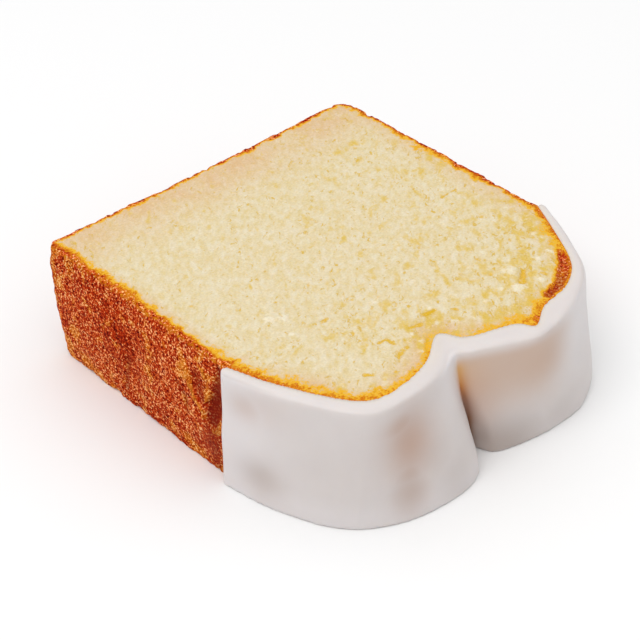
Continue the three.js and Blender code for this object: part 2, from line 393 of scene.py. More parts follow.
# Next to the base, the walls and the dome the oven's heat tanned the crumb a little deeper than its skin, and
# below the dome more on the left than on the right
BASE_TAN = 1.1
BASE_TAN_FROM = 52.0
BASE_TAN_REACH = 24.0
RIGHT_TAN = 0.8
RIGHT_TAN_FROM = 48.5
RIGHT_TAN_REACH = 12.0
DOME_TAN = 1.15
DOME_TAN_LOSS = 0.45
DOME_TAN_SPAN = (-8, 8)
DOME_TAN_REACH = 9.0
EDGE_TAN_REACH = 6.0
dome_tan = DOME_TAN - DOME_TAN_LOSS * eased(*DOME_TAN_SPAN, across)
tanned = cut * np.max([
    BASE_TAN * (1 - eased(0, BASE_TAN_REACH, BASE_TAN_FROM - along)),
    RIGHT_TAN * (1 - eased(0, RIGHT_TAN_REACH, RIGHT_TAN_FROM - across)),
    dome_tan * (1 - eased(0, DOME_TAN_REACH, depth)) * by_dome,
    1 - eased(0, EDGE_TAN_REACH, depth),
], axis=0)

# Marks of the left wall's crust, placed by along and height: flakes that stand proud, folds that sink in with
# painted shade in their creases, the smooth hollow that the icing's edge sealed, a strip of painted shadow
# beside the icing and painted shade below the hollow. Spots baked golden, and places baked lighter, darker or
# duller. The other walls baked unevenly in broad patches.
FLAKE_LINES = [
    [(2.1, 25.2), (0.6, 23.2), (-0.4, 20.8), (-1.2, 18.4), (-3.4, 16.3), (-5.0, 15.4)],
    [(-3.2, 28.1), (-4.9, 27.0), (-6.1, 25.5), (-7.2, 24.0), (-6.4, 20.7), (-5.4, 17.1)],
    [(-5.5, 13.2), (-8.7, 12.1), (-10.6, 14.0), (-10.2, 11.7)],
]
FLAKE_REACH = 0.85
FLAKE_HEIGHT = 0.5
FLAKE_BREAKS = (-0.3, 0.2)
FLAKE_BREAK_SIZE = 1.5
FLAKE_BREAK_SHIFT = 31.0
FOLD_LINES = [
    [(21.9, 15.1), (22.5, 11.7), (23.5, 8.0), (24.6, 4.0)],
    [(3.4, 18.9), (1.2, 15.7), (0.5, 11.8)],
]
FOLD_REACH = 0.7
FOLD_DEPTH = 0.4
WANDER = 0.45
WANDER_SIZE = 2.0
WANDER_SHIFT = 21.0
HOLLOW_DEPTH = 0.7
WALL_STRIPS = {
    # points of along, height and half width, then the soft edge, then how much the outline wanders
    "hollow": (
        [(-10.2, 30.0, 0.5), (-9.9, 26.4, 1.0), (-8.8, 20.6, 1.6), (-7.9, 16.6, 2.2), (-7.7, 14.0, 1.8)],
        (-1.0, 1.0), 0.8,
    ),
    "leaf": ([(-2.4, 24.4, 0.9), (-3.4, 21.1, 1.4), (-4.4, 18.1, 0.5)], (-0.3, 0.9), 0.6),
    # a painted shadow that the icing's edge casts along the wall
    "painted shadow beside icing": ([(-12.3, 12.0, 0.2), (-12.4, 0.5, 0.2)], (0.0, 0.5), 0.0),
    # painted shade in the fold below the hollow
    "painted shade below hollow": ([(-8.4, 13.0, 2.6), (-8.8, 7.0, 1.5), (-9.2, 1.0, 1.0)], (-1.0, 2.0), 1.0),
}
GOLDEN_FOOT = 0.12
GOLDEN_FOOT_RISE = (0, 5)
GOLDEN_CORNER = 0.15
GOLDEN_CORNER_SPAN = (44, 50)
GOLDEN_TOP = 0.08
GOLDEN_TOP_RISE = (27, 31)
GOLDEN_SPOTS = [
    # along, height, reach, how golden the crust baked
    (0.8, 23.6, 2.2, 0.22), (-5.6, 25.6, 1.6, 0.2), (-6.4, 21.4, 1.4, 0.2), (7.0, 28.7, 2.0, 0.12),
    (11.4, 21.4, 2.0, 0.12), (14.7, 15.0, 2.2, 0.14), (10.1, 14.9, 1.8, 0.1), (1.0, 3.6, 2.5, 0.2),
    (6.1, 5.1, 2.5, 0.12), (38.2, 3.7, 3.0, 0.15), (44.5, 10.3, 3.0, 0.18), (47.1, 4.7, 3.0, 0.2),
    (47.7, 25.9, 2.0, 0.12), (43.5, 30.5, 2.0, 0.25),
]
UNEVEN_BAKE = 0.045
UNEVEN_SIZE = 13.0
UNEVEN_SHIFT = 51.0
WALL_TONES = [
    # along, height, reach, how much lighter the crust baked
    (24.8, 20.0, 7.0, -0.05),
    (39.0, 26.0, 4.0, -0.012),
    (13.3, 25.8, 4.0, -0.012),
    (48.0, 22.0, 4.0, 0.015),
    (16.0, 14.0, 4.5, 0.015),
    (0.5, 8.0, 4.5, 0.03),
    (34.0, 7.0, 7.0, 0.02),
    (13.0, 6.0, 5.0, 0.02),
    (6.0, 26.0, 6.0, 0.015),
    # painted shade below the hollow, together with its strip
    (-9.0, 9.0, 3.5, -0.02),
]
DULL_SPOT = (-7.0, 6.5)
DULL_REACH = 4.5
wander = WANDER * lumps(places, WANDER_SIZE, WANDER_SHIFT)
broken = eased(*FLAKE_BREAKS, lumps(places, FLAKE_BREAK_SIZE, FLAKE_BREAK_SHIFT))
flake = np.zeros(len(places))
for line in FLAKE_LINES:
    flake = np.maximum(flake, left_wall * broken * spread((beside(on_wall, line) + wander) / FLAKE_REACH))
fold = np.zeros(len(places))
for line in FOLD_LINES:
    fold = np.maximum(fold, left_wall * spread((beside(on_wall, line) + wander) / FOLD_REACH))
strips = {
    name: left_wall * (1 - eased(*edge, beside(on_wall, line) + wandering * wander))
    for name, (line, edge, wandering) in WALL_STRIPS.items()
}
flake = flake * (1 - strips["hollow"])
gild = GOLDEN_FOOT * (1 - eased(*GOLDEN_FOOT_RISE, height))
gild += GOLDEN_CORNER * left_wall * eased(*GOLDEN_CORNER_SPAN, along)
gild += GOLDEN_TOP * eased(*GOLDEN_TOP_RISE, height)
for *middle, reach, more in GOLDEN_SPOTS:
    gild += left_wall * more * spot(on_wall, middle, reach)
tone = UNEVEN_BAKE * (wall - left_wall) * lumps(places, UNEVEN_SIZE, UNEVEN_SHIFT)
for *middle, reach, lighter in WALL_TONES:
    tone += left_wall * lighter * spot(on_wall, middle, reach)
dusky = left_wall * spot(on_wall, DULL_SPOT, DULL_REACH)

# All the relief, along the surface: crumb, grain, and the ragged edge between wall and cut face. Under the
# icing the dome swells into it a little and its edge lies just below the icing's, so that no gap shows.
COARSE_SIZE = 2.4
COARSE_SHIFT = 1.0
FINE_SIZE = 1.15
FINE_SHIFT = 2.0
FACE_LUMPS = (0.06, 0.05)
WALL_LUMPS = (0.2, 0.13)
BASE_WAVES = 0.3
BASE_WAVE_SIZE = 6.5
BASE_WAVE_SHIFT = 41.0
EDGE_CHIP = 0.5
CHIP_RISE = (0.3, 1.8)
CHIP_DEPTH = (0.2, 1.4)
CHIP_SHARE = (-0.1, 0.6)
DOME_SWELL = 0.35
DOME_SINK = 0.14
SINK_DEPTH = (0.3, 1.3)
coarse = lumps(places, COARSE_SIZE, COARSE_SHIFT)
fine = lumps(places, FINE_SIZE, FINE_SHIFT)
relief = cut * (FACE_LUMPS[0] * coarse + FACE_LUMPS[1] * fine - pit + raised)
relief += wall * (WALL_LUMPS[0] * coarse + WALL_LUMPS[1] * (1 - strips["hollow"]) * fine)
relief += wall * based * BASE_WAVES * lumps(places, BASE_WAVE_SIZE, BASE_WAVE_SHIFT)
relief += FLAKE_HEIGHT * flake - FOLD_DEPTH * fold - HOLLOW_DEPTH * strips["hollow"]
from_cut = np.minimum(height, FACE_HEIGHT - height)
edge = (1 - eased(*CHIP_RISE, from_cut)) * (1 - eased(*CHIP_DEPTH, depth))
relief -= EDGE_CHIP * edge * eased(*CHIP_SHARE, ragged)
relief = relief * (1 - iced) + DOME_SWELL * iced
under_icing = DOME_SINK * domed * (1 - eased(*SINK_DEPTH, depth))
highest = np.where(under_icing > 0, FACE_HEIGHT - under_icing, np.inf)
places = places + normals * relief[:, None]
places[:, 2] = np.clip(places[:, 2], under_icing, highest)
settled(sponge, places)

# What the material reads at each vertex. Dark marks are the hollow, the leaf and the pocket's left end, with
# painted shade in the folds and below the hollow and a painted shadow beside the icing. The flakes bake
# golden, and the pocket is a little duller than the walls.
POCKET_LEFT = (29, 34)
POCKET_DUSK = 0.4
FLAKE_GILT = 0.4
dark_marks = [
    # how dark, which mark
    (0.85, strips["hollow"]),
    # painted shade in the folds' creases
    (0.5, fold),
    (0.45, strips["leaf"]),
    # painted shadow beside the icing, then painted shade below the hollow
    (0.7, strips["painted shadow beside icing"]),
    (0.45, strips["painted shade below hollow"]),
    (0.45, pocket * (1 - eased(*POCKET_LEFT, across))),
]
sponge_coats = {
    "browning": browning,
    "pore": pore,
    "pale": pale,
    "open_crumb": open_crumb,
    "tanned": tanned,
    "flake": flake,
    "dark_crust_and_painted_shade": np.max([share * mark for share, mark in dark_marks], axis=0),
    "gild": gild + FLAKE_GILT * flake,
    "tone": tone,
    "dusky": np.maximum(dusky, POCKET_DUSK * pocket),
}
painted(sponge, sponge_coats)

# The lower cut face and the dome under the icing are thinned, so that the cells are spent where they show
SPONGE_TRIANGLES = 192000
DOWNWARD = -0.8
UPRIGHT = 0.5
COVERED_FROM = -17.0
COVERED_BELOW = 31.0
covered = (along < COVERED_FROM) & (np.abs(normals[:, 2]) < UPRIGHT) & (height < COVERED_BELOW)
hidden = (normals[:, 2] < DOWNWARD) | covered
unseen = sponge.vertex_groups.new(name="unseen")
unseen.add(np.flatnonzero(hidden).tolist(), 1.0, "REPLACE")
thinned = sponge.modifiers.new("thinned", "DECIMATE")
thinned.vertex_group = unseen.name
thinned.ratio = SPONGE_TRIANGLES / (2 * len(sponge.data.polygons))
applied(sponge)
sponge.vertex_groups.clear()
settled(sponge, measured(sponge)[0])


def linear(colour):
    """An sRGB hex colour as the linear red, green, blue and alpha that a shader takes."""
    shares = [int(colour[i:i + 2], 16) / 255 for i in (1, 3, 5)]
    return [c / 12.92 if c <= 0.04045 else ((c + 0.055) / 1.055) ** 2.4 for c in shares] + [1.0]


def per(size):
    """The scale of a pattern whose lumps are of a size in millimetres, on coordinates in metres."""
    return 1 / (size * MM)


def add(tree, kind, sockets, stops=(), **settings):
    """A new node with its settings and stops, and its sockets set to values or linked to other outputs."""
    made = tree.nodes.new(kind)
    for name, value in settings.items():
        setattr(made, name, value)
    for name, value in sockets.items():
        if isinstance(value, bpy.types.NodeSocket):
            tree.links.new(value, made.inputs[name])
        else:
            made.inputs[name].default_value = value
    if stops:
        elements = made.color_ramp.elements
        elements.remove(elements[1])
        elements[0].position = stops[0][0]
        elements[0].color = linear(stops[0][1])
        for position, colour in stops[1:]:
            elements.new(position).color = linear(colour)
    return made


# Lemon sponge, tin baked and sawn: the crumb is matt and buttery with golden pores, and the skin goes from
# gold through orange to a sandy red-brown whose grains catch the light. The saw drew the crumb out along its
# stroke, and the grain is drawn coarser than the crust's real grain so that it shows.
crumb_and_crust = bpy.data.materials.new("lemon sponge, tin baked and sawn")
crumb_and_crust.use_nodes = True
tree = crumb_and_crust.node_tree
shader = tree.nodes["Principled BSDF"]
where = add(tree, "ShaderNodeTexCoord", {}).outputs["Object"]
kept = {
    name: add(tree, "ShaderNodeAttribute", {}, attribute_name=name).outputs["Fac"] for name in sponge_coats
}
STROKE_TURN = math.radians(47)
STROKE_STRETCH = 1.65
drawn_out = add(
    tree, "ShaderNodeMapping",
    {"Vector": where, "Rotation": (0, 0, STROKE_TURN), "Scale": (STROKE_STRETCH, 1, 1)},
    vector_type="TEXTURE",
).outputs[0]
NOISES = {
    # place, lump size in millimetres, detail, roughness, distortion
    "grain": (where, 0.5, 2.0, 0.6, 0.0),
    "crumbs": (drawn_out, 1.3, 2.0, 0.5, 0.0),
    "bubbles": (drawn_out, 2.5, 2.0, 0.55, 0.3),
    "pits": (drawn_out, 1.25, 4.0, 0.62, 0.4),
    "fray": (where, 1.1, 3.0, 0.65, 0.3),
    "tint": (where, 9.0, 2.0, 0.5, 0.0),
    "patches": (where, 4.0, 2.0, 0.55, 0.0),
}
pattern = {
    name: add(
        tree, "ShaderNodeTexNoise",
        {"Vector": place, "Scale": per(size), "Detail": detail, "Roughness": rough, "Distortion": twist},
    ).outputs[0]
    for name, (place, size, detail, rough, twist) in NOISES.items()
}

# Crumb: cream with a peach tint near the skin, soft yellow bubbles and small ragged pits, more and wider ones
# where it is more open, gold pores and pale bits. The gold in the pits and pores is partly the crumb's own
# and partly painted shade inside them. Single crumbs are painted a little lighter or darker, as painted light
# and shade.
BUBBLE_OPENING = -0.3
BUBBLE_START = 0.646
BUBBLE_FADE = 0.28
PIT_OPENING = 0.06
PIT_BOTTOM = 0.28
PIT_FADE = 0.11
RUFFLE_GAIN = 2.2
RUFFLE_SHIFT = -1.1
ruffle = add(
    tree, "ShaderNodeMath", {0: pattern["fray"], 1: RUFFLE_GAIN, 2: RUFFLE_SHIFT}, operation="MULTIPLY_ADD",
).outputs[0]
peach = add(
    tree, "ShaderNodeMath", {0: kept["tanned"], 1: pattern["tint"]}, operation="MULTIPLY",
).outputs[0]
bubble_start = add(
    tree, "ShaderNodeMath", {0: kept["open_crumb"], 1: BUBBLE_OPENING, 2: BUBBLE_START},
    operation="MULTIPLY_ADD",
).outputs[0]
bubble_end = add(tree, "ShaderNodeMath", {0: bubble_start, 1: BUBBLE_FADE}, operation="ADD").outputs[0]
bubbles = add(
    tree, "ShaderNodeMapRange",
    {"Value": pattern["bubbles"], "From Min": bubble_start, "From Max": bubble_end, "To Max": 0.85},
    interpolation_type="SMOOTHSTEP",
).outputs[0]
pit_bottom = add(
    tree, "ShaderNodeMath", {0: kept["open_crumb"], 1: PIT_OPENING, 2: PIT_BOTTOM}, operation="MULTIPLY_ADD",
).outputs[0]
pit_brink = add(tree, "ShaderNodeMath", {0: pit_bottom, 1: PIT_FADE}, operation="ADD").outputs[0]
pits = add(
    tree, "ShaderNodeMapRange",
    {"Value": pattern["pits"], "From Min": pit_brink, "From Max": pit_bottom, "To Max": 0.88},
    interpolation_type="SMOOTHSTEP",
).outputs[0]
ruffled_pores = add(tree, "ShaderNodeMath", {0: kept["pore"], 1: ruffle}, operation="ADD").outputs[0]
holes = add(
    tree, "ShaderNodeMapRange", {"Value": ruffled_pores, "From Min": 0.2, "From Max": 0.9, "To Max": 0.9},
    interpolation_type="SMOOTHSTEP",
).outputs[0]
ruffled_bits = add(tree, "ShaderNodeMath", {0: kept["pale"], 1: ruffle}, operation="ADD").outputs[0]
bits = add(
    tree, "ShaderNodeMapRange", {"Value": ruffled_bits, "From Min": 0.1, "From Max": 0.9, "To Max": 0.8},
).outputs[0]
mingled = add(
    tree, "ShaderNodeMapRange", {"Value": pattern["crumbs"], "From Min": 0.3, "From Max": 0.7},
).outputs[0]
crumb = add(
    tree, "ShaderNodeMix", {0: mingled, 6: linear("#D7C392"), 7: linear("#DED2B6")}, data_type="RGBA",
).outputs[2]
CRUMB_LAYERS = [
    # the gold of the pits and holes is partly painted shade inside them
    (peach, "#D4A77A"), (bubbles, "#D6B44C"), (pits, "#D3AD42"), (holes, "#D6AA28"), (bits, "#E8DFC8"),
]
for share, colour in CRUMB_LAYERS:
    crumb = add(
        tree, "ShaderNodeMix", {0: share, 6: crumb, 7: linear(colour)}, data_type="RGBA",
    ).outputs[2]
# painted light and shade on single crumbs
glint = add(
    tree, "ShaderNodeMapRange",
    {"Value": pattern["grain"], "From Min": 0.3, "From Max": 0.7, "To Min": 0.925, "To Max": 1.075},
).outputs[0]
crumb = add(tree, "ShaderNodeVectorMath", {0: crumb, "Scale": glint}, operation="SCALE").outputs[0]

# Crust: an even red-brown with a few dark pits and tan grains, which bakes golden in patches, on the flakes
# and along the foot, and lies dark and smooth in the hollow. Over it lie painted shade in the folds and below
# the hollow and a painted shadow beside the icing. Its sand is drawn coarser than real grains too.
CRUST_STOPS = [
    (0.36, "#500402"), (0.43, "#982004"), (0.48, "#B4300C"),
    (0.53, "#C43E12"), (0.58, "#EA7A38"), (0.64, "#FFC286"),
]
GOLDEN_STOPS = [
    (0.36, "#641000"), (0.43, "#B04404"), (0.48, "#C85A0C"),
    (0.53, "#D46C18"), (0.58, "#F09A40"), (0.64, "#FFCA86"),
]
SAND_SIZE = 0.42
SAND_SHARE = 0.2
PATCH_SHARE = 0.12
GRAIN_SHARE = 0.65
GRAIN_SHIFT = 0.015
DULL_SHARE = 0.45
sand = add(tree, "ShaderNodeTexVoronoi", {"Vector": where, "Scale": per(SAND_SIZE)}).outputs["Color"]
shade = add(tree, "ShaderNodeSeparateXYZ", {0: sand}).outputs["X"]
mottle = add(
    tree, "ShaderNodeMath", {0: pattern["patches"], 1: PATCH_SHARE, 2: kept["tone"]},
    operation="MULTIPLY_ADD",
).outputs[0]
sanded = add(
    tree, "ShaderNodeMath", {0: shade, 1: SAND_SHARE, 2: mottle}, operation="MULTIPLY_ADD",
).outputs[0]
softened = add(
    tree, "ShaderNodeMath", {0: pattern["grain"], 1: GRAIN_SHARE, 2: GRAIN_SHIFT}, operation="MULTIPLY_ADD",
).outputs[0]
grains = add(tree, "ShaderNodeMath", {0: sanded, 1: softened}, operation="ADD").outputs[0]
red_brown = add(tree, "ShaderNodeValToRGB", {"Fac": grains}, CRUST_STOPS).outputs[0]
golden = add(tree, "ShaderNodeValToRGB", {"Fac": grains}, GOLDEN_STOPS).outputs[0]
gilt = add(tree, "ShaderNodeMath", {0: pattern["patches"], 1: kept["gild"]}, operation="ADD").outputs[0]
gilded = add(
    tree, "ShaderNodeMapRange", {"Value": gilt, "From Min": 0.56, "From Max": 0.7},
    interpolation_type="SMOOTHSTEP",
).outputs[0]
dulled = add(tree, "ShaderNodeMath", {0: kept["dusky"], 1: DULL_SHARE}, operation="MULTIPLY").outputs[0]
crisp = add(tree, "ShaderNodeMath", {0: kept["flake"], 1: ruffle}, operation="ADD").outputs[0]
flaked = add(
    tree, "ShaderNodeMapRange", {"Value": crisp, "From Min": 0.3, "From Max": 0.9, "To Max": 0.5},
).outputs[0]
CRUST_LAYERS = [
    (gilded, golden), (dulled, linear("#A2462E")), (flaked, linear("#E29236")),
    # dark crust in the hollow, the leaf and the pocket's left end, with painted shade in the folds and below
    # the hollow and a painted shadow beside the icing
    (kept["dark_crust_and_painted_shade"], linear("#7A2012")),
]
crust = red_brown
for share, colour in CRUST_LAYERS:
    crust = add(tree, "ShaderNodeMix", {0: share, 6: crust, 7: colour}, data_type="RGBA").outputs[2]

# The skin seen in section: crumb, then yellow gold, then orange, then crust, with a crumbly transition
FRAY_GAIN = 1.1
FRAY_SHIFT = -1.0
STIPPLE = 0.9
SKIN_LAYERS = [
    # browning at which the layer starts and is whole, colour
    (0.03, 0.38, linear("#E4AE32")),
    (0.42, 0.76, linear("#C86E12")),
    (0.76, 0.94, crust),
]
fray = add(
    tree, "ShaderNodeMath", {0: pattern["fray"], 1: FRAY_GAIN, 2: FRAY_SHIFT}, operation="MULTIPLY_ADD",
).outputs[0]
stipple = add(
    tree, "ShaderNodeMath", {0: pattern["grain"], 1: STIPPLE, 2: fray}, operation="MULTIPLY_ADD",
).outputs[0]
fringe = add(
    tree, "ShaderNodeMapRange", {"Value": kept["browning"], "From Max": 0.15, "To Max": 1.0},
).outputs[0]
frayed = add(
    tree, "ShaderNodeMath", {0: stipple, 1: fringe, 2: kept["browning"]}, operation="MULTIPLY_ADD",
).outputs[0]
skin_colour = crumb
for low, high, colour in SKIN_LAYERS:
    share = add(
        tree, "ShaderNodeMapRange", {"Value": frayed, "From Min": low, "From Max": high},
        interpolation_type="SMOOTHSTEP",
    ).outputs[0]
    skin_colour = add(
        tree, "ShaderNodeMix", {0: share, 6: skin_colour, 7: colour}, data_type="RGBA",
    ).outputs[2]

# Pores sink into the matt crumb, and the crust, which is the last layer, is rougher to the touch but catches
# more light
CRUST_BUMP = 3.0
crusted = share
sunken = add(tree, "ShaderNodeMath", {0: holes, 1: pits}, operation="MAXIMUM").outputs[0]
crumb_bump = add(
    tree, "ShaderNodeMath", {0: sunken, 1: -1.0, 2: pattern["crumbs"]}, operation="MULTIPLY_ADD",
).outputs[0]
crust_bump = add(
    tree, "ShaderNodeMath", {0: pattern["grain"], 1: CRUST_BUMP}, operation="MULTIPLY",
).outputs[0]
bumps = add(tree, "ShaderNodeMix", {0: crusted, 2: crumb_bump, 3: crust_bump}, data_type="FLOAT").outputs[0]
surface = add(tree, "ShaderNodeBump", {"Strength": 0.4, "Distance": 0.2 * MM, "Height": bumps}).outputs[0]
matt = add(tree, "ShaderNodeMapRange", {"Value": crusted, "To Min": 0.9, "To Max": 0.6}).outputs[0]
tree.links.new(skin_colour, shader.inputs["Base Color"])
tree.links.new(surface, shader.inputs["Normal"])
tree.links.new(matt, shader.inputs["Roughness"])
shader.inputs["IOR"].default_value = 1.4
shader.inputs["Specular IOR Level"].default_value = 0.02
shader.inputs["Subsurface Weight"].default_value = 0.08
shader.inputs["Subsurface Radius"].default_value = (1.0, 0.6, 0.3)
shader.inputs["Subsurface Scale"].default_value = 0.6 * MM
sponge.data.materials.append(crumb_and_crust)

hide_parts("cake")
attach(sponge, "root")


# Icing: white sugar icing, poured over the cooled dome, where it ran into the crack and set with soft dents
# and rounded edges. It is cut through with the slice, so its thickness shows as a band along the crumb.

ICING_CELL = 0.42
ICING_SMOOTHING = 7
ROUNDED_COAT = (0.5, 1.8)
CREST_SMOOTHING = 50
CREST_HEIGHT = (14.0, 26.0)
CREST_COAT = (1.2, 3.0)
ICING_GRIP = 0.2
GRIP_COAT = (0.3, 0.9)
SIDE_FLATNESS = (0.4, 0.9)
icing = even_copy("icing", "icing_coat", ICING_CELL)
sharp, _ = measured(icing)
smoothed(icing, ICING_SMOOTHING)
soft, _ = measured(icing)
smoothed(icing, CREST_SMOOTHING)
softest, normals = measured(icing)
seat, _, coat = nearest(skin, sharp)
rounded = eased(*ROUNDED_COAT, coat)
crest = eased(*CREST_HEIGHT, sharp[:, 2]) * eased(*CREST_COAT, coat)
places = sharp + (soft - sharp) * rounded[:, None] + (softest - soft) * crest[:, None]
gripping = 1 - eased(*GRIP_COAT, coat)
towards = (seat - sharp) / np.maximum(coat, MERGE_REACH)[:, None]
places += towards * ((coat + ICING_GRIP) * gripping)[:, None]
side = 1 - eased(*SIDE_FLATNESS, np.abs(normals[:, 2]))

# Dents and waves of the poured coat, the fill that rounds the bottom of the crack, and the lip along the cut
# edge. Dents without depth are marks of colour alone: tan where the crust shows through the icing, partly as
# painted shade, and grey as painted shade.
ICING_DENTS = [
    # across, along, height, reach round it, reach up, depth, how tan it is and how much painted grey shade it
    # has
    (-47.8, -19.2, 25.0, 4.5, 4.0, 0.2, 0.4, 0.0),
    (-47.9, -23.6, 7.1, 5.5, 5.0, 0.35, 0.15, 0.42),
    (-26.0, -47.8, 20.0, 6.5, 9.0, 0.3, 0.85, 0.0),
    (-27.0, -49.4, 8.0, 4.5, 6.0, 0.2, 0.5, 0.25),
    (13.2, -51.5, 25.0, 5.5, 5.5, 0.2, 0.6, 0.0),
    (-27.7, -46.5, 25.0, 5.0, 4.0, 0.0, 0.76, 0.0),
    (-27.0, -48.8, 13.0, 4.0, 4.0, 0.0, 0.62, 0.0),
    (-19.6, -49.8, 14.0, 5.0, 6.0, 0.0, 0.0, 0.17),
    (-14.5, -51.3, 5.0, 6.0, 7.0, 0.0, 0.0, 0.22),
    (-40.8, -39.8, 15.0, 9.0, 9.0, 0.0, 0.0, 0.12),
    (-47.2, -23.6, 27.2, 6.5, 5.0, 0.0, 0.22, 0.0),
    (0.5, -46.3, 14.0, 4.0, 6.0, 0.0, 0.2, 0.0),
    (19.5, -50.8, 6.0, 7.0, 5.0, 0.0, 0.0, 0.22),
]
CRACK_LINE = [
    # height, across, along
    (0, 0.9, -41.0), (7.5, -0.8, -41.2), (11, -2.4, -42.2), (15, -4.2, -42.4), (22, -5.4, -42.2),
    (27, -6.3, -42.2), (32, -7.2, -42.0),
]
CRACK_FILL = 0.8
CRACK_FILL_REACH = 3.5
ICING_WAVES = 0.1
ICING_WAVE_SIZE = 6.0
ICING_WAVE_SHIFT = 13.0
ICING_LIP = 0.1
LIP_FLATNESS = 0.5
LIP_COAT = (0.2, 1.6)
crack_height, crack_across, crack_along = np.transpose(CRACK_LINE)
beyond = places[:, 0] - np.interp(places[:, 2], crack_height, crack_across)
from_crack = np.hypot(beyond, places[:, 1] - np.interp(places[:, 2], crack_height, crack_along))
sunk = -ICING_WAVES * lumps(places, ICING_WAVE_SIZE, ICING_WAVE_SHIFT)
sunk = sunk - CRACK_FILL * side * spread(from_crack / CRACK_FILL_REACH)
# tan where the crust shows through the thin icing, partly painted shade of the dents
show_through_and_shade = np.zeros(len(places))
# painted grey shade of the dents and stains
painted_shade = np.zeros(len(places))
for *middle, reach, reach_up, dent, tan_share, painted_shade_share in ICING_DENTS:
    stain = spread(np.linalg.norm((places - middle) / (reach, reach, reach_up), axis=1))
    sunk += dent * stain
    show_through_and_shade = np.maximum(show_through_and_shade, tan_share * stain)
    painted_shade = np.maximum(painted_shade, painted_shade_share * stain)
places -= normals * (sunk * rounded)[:, None]
places[:, 2] += ICING_LIP * (normals[:, 2] > LIP_FLATNESS) * (1 - eased(*LIP_COAT, coat))
settled(icing, places)

# What the icing's depth and painted light and shade do to its white: painted light at the left corner, along
# the foot, on the right and on the lip beside the crack; warm where the crust shows through, which on the
# dents is partly painted shade, and on the right lobe's brow; painted warm bounce light and shade in the
# crack;
# painted grey shade on stains and at the crack's foot; and buttery where the cut edge meets the crumb
RIGHT_OF_CRACK = (-1.0, 1.5)
GLOW = 0.9
GLOW_REACH = 1.5
WIDE_GLOW = 0.35
WIDE_GLOW_REACH = 5.25
GLOW_END = (26.5, 31)
BROW = 0.8
BROW_START = (6, 24)
BROW_END = (28, 32)
BROW_RIGHT = (8, 28)
FOOT_SHADE = 0.75
FOOT_SHADE_RISE = (3, 15)
FOOT_SHADE_RIGHT = (4, 20)
PAINTED_LIGHT_CORNER = 0.6
PAINTED_LIGHT_CORNER_SPAN = (-32, -17)
PAINTED_LIGHT_FOOT = 0.35
PAINTED_LIGHT_FOOT_RISE = (3, 9)
PAINTED_LIGHT_RIGHT = 0.55
PAINTED_LIGHT_RIGHT_SPAN = (15, 26)
PAINTED_LIGHT_RIGHT_RISE = (6, 28)
PAINTED_HIGHLIGHT_LIP = 0.9
PAINTED_HIGHLIGHT_LIP_FROM_CRACK = 4.0
PAINTED_HIGHLIGHT_LIP_REACH = 4.5
PAINTED_HIGHLIGHT_LIP_RISE = (16, 28)
BUTTERED = 0.7
BUTTERED_COAT = (0.2, 1.2)
WARMED = 0.35
WARMED_ACROSS = -10.0
WARMED_REACH = 7.0
WARMED_COAT = (0.5, 3.5)
across, along, height = places.T
right_lobe = eased(*RIGHT_OF_CRACK, beyond)
# painted warm bounce light and shade in the crack and on the right lobe beside it, darker towards the bottom
glow = GLOW * spread(from_crack / GLOW_REACH)
glow += WIDE_GLOW * right_lobe * spread(from_crack / WIDE_GLOW_REACH)
glow *= 1 - eased(*GLOW_END, height)
brow = right_lobe * eased(*BROW_START, height) * (1 - eased(*BROW_END, height))
brow *= 1 - eased(*BROW_RIGHT, across)
# painted shade on the right lobe's foot beside the crack
foot_shade = right_lobe * (1 - eased(*FOOT_SHADE_RISE, height)) * (1 - eased(*FOOT_SHADE_RIGHT, beyond))
# painted light on the left corner and along the foot, on the right, and a painted highlight on the lip
painted_light_corner = PAINTED_LIGHT_CORNER * eased(*PAINTED_LIGHT_CORNER_SPAN, along)
painted_light_foot = PAINTED_LIGHT_FOOT * (1 - eased(*PAINTED_LIGHT_FOOT_RISE, height))
painted_light = np.maximum(painted_light_corner, painted_light_foot) * (across < 0)
painted_light += PAINTED_LIGHT_RIGHT * eased(*PAINTED_LIGHT_RIGHT_SPAN, across) * eased(*PAINTED_LIGHT_RIGHT_RISE, height)
lip = (1 - right_lobe) * spread((beyond + PAINTED_HIGHLIGHT_LIP_FROM_CRACK) / PAINTED_HIGHLIGHT_LIP_REACH)
lip *= eased(*PAINTED_HIGHLIGHT_LIP_RISE, height)
painted_light += PAINTED_HIGHLIGHT_LIP * lip
buttered = BUTTERED * (1 - eased(*BUTTERED_COAT, coat))
warmed = WARMED * spread((across - WARMED_ACROSS) / WARMED_REACH) * (1 - eased(*WARMED_COAT, coat))
icing_coats = {
    "painted_light": np.minimum(painted_light, 1) * side,
    "buttered": np.maximum(buttered, warmed) * (1 - side),
    "show_through_and_shade": show_through_and_shade * side,
    "brow": BROW * brow * side,
    "painted_shade": np.maximum(painted_shade, FOOT_SHADE * foot_shade) * side,
    "glow": np.minimum(glow, 1) * side,
}
painted(icing, icing_coats)

